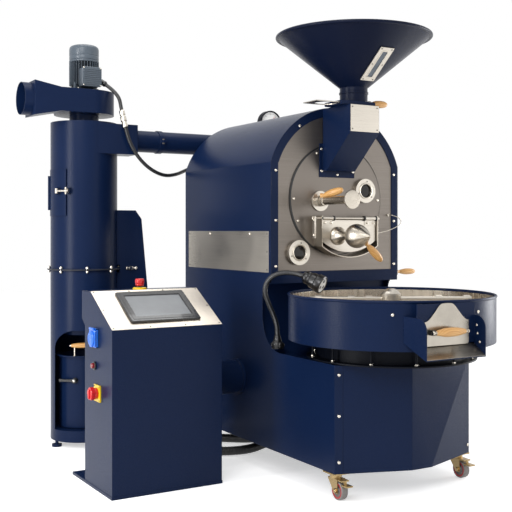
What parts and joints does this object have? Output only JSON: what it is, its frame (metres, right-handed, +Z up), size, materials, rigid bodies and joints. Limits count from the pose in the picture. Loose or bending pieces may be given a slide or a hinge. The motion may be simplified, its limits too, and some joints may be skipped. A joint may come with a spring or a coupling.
{
  "type": "shop drum coffee roaster",
  "caption": "Floor-standing drum coffee roaster with hopper, stirred cooling tray, chaff cyclone with fan, and a control console joined by floor conduits.",
  "frame": {"origin": "middle of the whole layout's footprint, on the floor", "axes": "+Z up, -Y towards the operator, +X to the operator's right"},
  "size_m": [1.675, 2.033, 1.968],
  "materials": {
    "navy_powder_coat": "satin powder coat",
    "brushed_stainless": "brushed",
    "brushed_front_plate": "brushed",
    "black_steel": "satin paint",
    "motor_paint": "satin paint",
    "clear_glass": "polished",
    "dark_plastic": "satin",
    "yellow_plastic": "satin",
    "red_plastic": "gloss",
    "blue_plastic": "gloss",
    "zinc_yellow": "zinc plated",
    "grey_wheel": "satin",
    "black_rubber": "satin",
    "oiled_wood": "oiled"
  },
  "bodies": {
    "roaster": {"side_panel_left": "navy_powder_coat", "side_panel_right": "navy_powder_coat", "roof_shell": "navy_powder_coat", "rear_panel": "navy_powder_coat", "front_frame": "navy_powder_coat", "front_plate": "brushed_front_plate", "drum_cover": "brushed_stainless", "recess_panel": "navy_powder_coat", "base_front_panels": "navy_powder_coat", "chassis": "navy_powder_coat", "blank_plates": "brushed_stainless", "panel_screws": "brushed_stainless", "hopper": "navy_powder_coat", "front_rings": "brushed_stainless", "window_glasses": "clear_glass", "feed_chute": "navy_powder_coat", "tray_shell": "navy_powder_coat", "tray_liner": "brushed_stainless", "tray_plenum": "black_steel", "tray_chute": "navy_powder_coat", "drum_drive": "black_steel", "burner": "black_steel", "cooling_blower": "navy_powder_coat", "exhaust_duct": "navy_powder_coat", "cyclone_body": "navy_powder_coat", "cyclone_stand": "navy_powder_coat", "fan_housing": "navy_powder_coat", "fan_motor": "motor_paint", "console_cabinet": "navy_powder_coat", "console_top_plate": "brushed_stainless", "touch_screen": "dark_plastic", "yellow_plates": "yellow_plastic", "rear_castor_brackets": "zinc_yellow", "motor_cable": "black_rubber", "hose_front": "black_rubber", "hose_rear": "black_rubber"},
    "slide_gate": {"slide_gate": "brushed_stainless"},
    "trier": {"trier": "brushed_stainless"},
    "discharge_door": {"discharge_door": "brushed_stainless"},
    "door_lock": {"door_lock": "brushed_stainless"},
    "air_rod": {"air_rod": "oiled_wood"},
    "tray_gate": {"tray_gate": "brushed_stainless"},
    "agitator": {"agitator": "brushed_stainless"},
    "drum": {"drum": "black_steel"},
    "cyclone_door": {"cyclone_door": "navy_powder_coat"},
    "door_latch": {"door_latch": "brushed_stainless"},
    "chaff_bin": {"chaff_bin": "navy_powder_coat"},
    "bin_clamp": {"bin_clamp": "black_steel"},
    "fan_impeller": {"fan_impeller": "black_steel"},
    "emergency_stop": {"emergency_stop": "red_plastic"},
    "main_switch": {"main_switch": "red_plastic"},
    "stop_button": {"stop_button": "red_plastic"},
    "socket_flap": {"socket_flap": "blue_plastic"},
    "lamp_arm": {"lamp_arm": "dark_plastic"},
    "castor_fork_left": {"castor_fork_left": "zinc_yellow"},
    "castor_fork_right": {"castor_fork_right": "zinc_yellow"},
    "castor_wheel_left": {"castor_wheel_left": "grey_wheel"},
    "castor_wheel_right": {"castor_wheel_right": "grey_wheel"},
    "rear_wheel_left": {"rear_wheel_left": "grey_wheel"},
    "rear_wheel_right": {"rear_wheel_right": "grey_wheel"}
  },
  "joints": [
    {"name": "gate_slide", "type": "slide", "parent": "roaster", "child": "slide_gate", "axis": [1, 0, 0], "range_m": [0, 0.15]},
    {"name": "trier_slide", "type": "slide", "parent": "roaster", "child": "trier", "axis": [0, -1, 0], "range_m": [0, 0.12]},
    {"name": "door_hinge", "type": "hinge", "parent": "roaster", "child": "discharge_door", "pos_m": [0.3625, -0.2025, 1.104], "axis": [-1, 0, 0], "range_deg": [0, 32]},
    {"name": "lock_turn", "type": "hinge", "parent": "discharge_door", "child": "door_lock", "pos_m": [0.3015, -0.2025, 1.026], "axis": [0, -1, 0], "range_deg": [0, 45]},
    {"name": "damper_slide", "type": "slide", "parent": "roaster", "child": "air_rod", "axis": [1, 0, 0], "range_m": [0, 0.06]},
    {"name": "tray_gate_lift", "type": "slide", "parent": "roaster", "child": "tray_gate", "axis": [0, 0, 1], "range_m": [0, 0.09]},
    {"name": "agitator_spin", "type": "hinge", "parent": "roaster", "child": "agitator", "pos_m": [0.3325, -0.5315, 0.7], "axis": [0, 0, 1], "continuous": true},
    {"name": "drum_spin", "type": "hinge", "parent": "roaster", "child": "drum", "pos_m": [0.3325, 0.5095, 1.19], "axis": [0, 1, 0], "continuous": true},
    {"name": "cyclone_door_hinge", "type": "hinge", "parent": "roaster", "child": "cyclone_door", "pos_m": [-0.66764, 0.87166, 1.233], "axis": [0, 0, -1], "range_deg": [0, 100]},
    {"name": "latch_swing", "type": "hinge", "parent": "cyclone_door", "child": "door_latch", "pos_m": [-0.66802, 0.75831, 1.24], "axis": [0, 0, -1], "range_deg": [0, 110]},
    {"name": "bin_pull", "type": "slide", "parent": "roaster", "child": "chaff_bin", "axis": [-0.3256, -0.9455, 0], "range_m": [0, 0.3]},
    {"name": "bin_clamp_turn", "type": "hinge", "parent": "chaff_bin", "child": "bin_clamp", "pos_m": [-0.58756, 0.73555, 0.323], "axis": [0.6428, 0.766, 0], "range_deg": [0, 80]},
    {"name": "fan_spin", "type": "hinge", "parent": "roaster", "child": "fan_impeller", "pos_m": [-0.4995, 0.8405, 1.712], "axis": [0, 0, 1], "continuous": true},
    {"name": "emergency_stop_press", "type": "slide", "parent": "roaster", "child": "emergency_stop", "axis": [0, 0, -1], "range_m": [0, 0.005], "stiffness_N_per_m": 1500},
    {"name": "main_switch_turn", "type": "hinge", "parent": "roaster", "child": "main_switch", "pos_m": [-0.7595, -0.0205, 0.395], "axis": [-1, 0, 0], "range_deg": [0, 90]},
    {"name": "stop_button_press", "type": "slide", "parent": "roaster", "child": "stop_button", "axis": [1, 0, 0], "range_m": [0, 0.004], "stiffness_N_per_m": 1000},
    {"name": "socket_flap_hinge", "type": "hinge", "parent": "roaster", "child": "socket_flap", "pos_m": [-0.7678, 0.0115, 0.652], "axis": [0, 1, 0], "range_deg": [0, 100]},
    {"name": "lamp_swing", "type": "hinge", "parent": "roaster", "child": "lamp_arm", "pos_m": [0.0075, -0.1645, 0.56], "axis": [0, 0, 1], "range_deg": [-10, 35]},
    {"name": "fork_swivel_left", "type": "hinge", "parent": "roaster", "child": "castor_fork_left", "pos_m": [0.0155, -0.5845, 0.095], "axis": [0, 0, 1], "continuous": true},
    {"name": "front_wheel_spin_left", "type": "hinge", "parent": "castor_fork_left", "child": "castor_wheel_left", "pos_m": [0.0155, -0.6105, 0.0375], "axis": [1, 0, 0], "continuous": true},
    {"name": "rear_wheel_spin_left", "type": "hinge", "parent": "roaster", "child": "rear_wheel_left", "pos_m": [0.0325, 0.6095, 0.0375], "axis": [1, 0, 0], "continuous": true},
    {"name": "fork_swivel_right", "type": "hinge", "parent": "roaster", "child": "castor_fork_right", "pos_m": [0.6495, -0.5845, 0.095], "axis": [0, 0, 1], "continuous": true},
    {"name": "front_wheel_spin_right", "type": "hinge", "parent": "castor_fork_right", "child": "castor_wheel_right", "pos_m": [0.6495, -0.6105, 0.0375], "axis": [1, 0, 0], "continuous": true},
    {"name": "rear_wheel_spin_right", "type": "hinge", "parent": "roaster", "child": "rear_wheel_right", "pos_m": [0.6325, 0.6095, 0.0375], "axis": [1, 0, 0], "continuous": true}
  ]
}
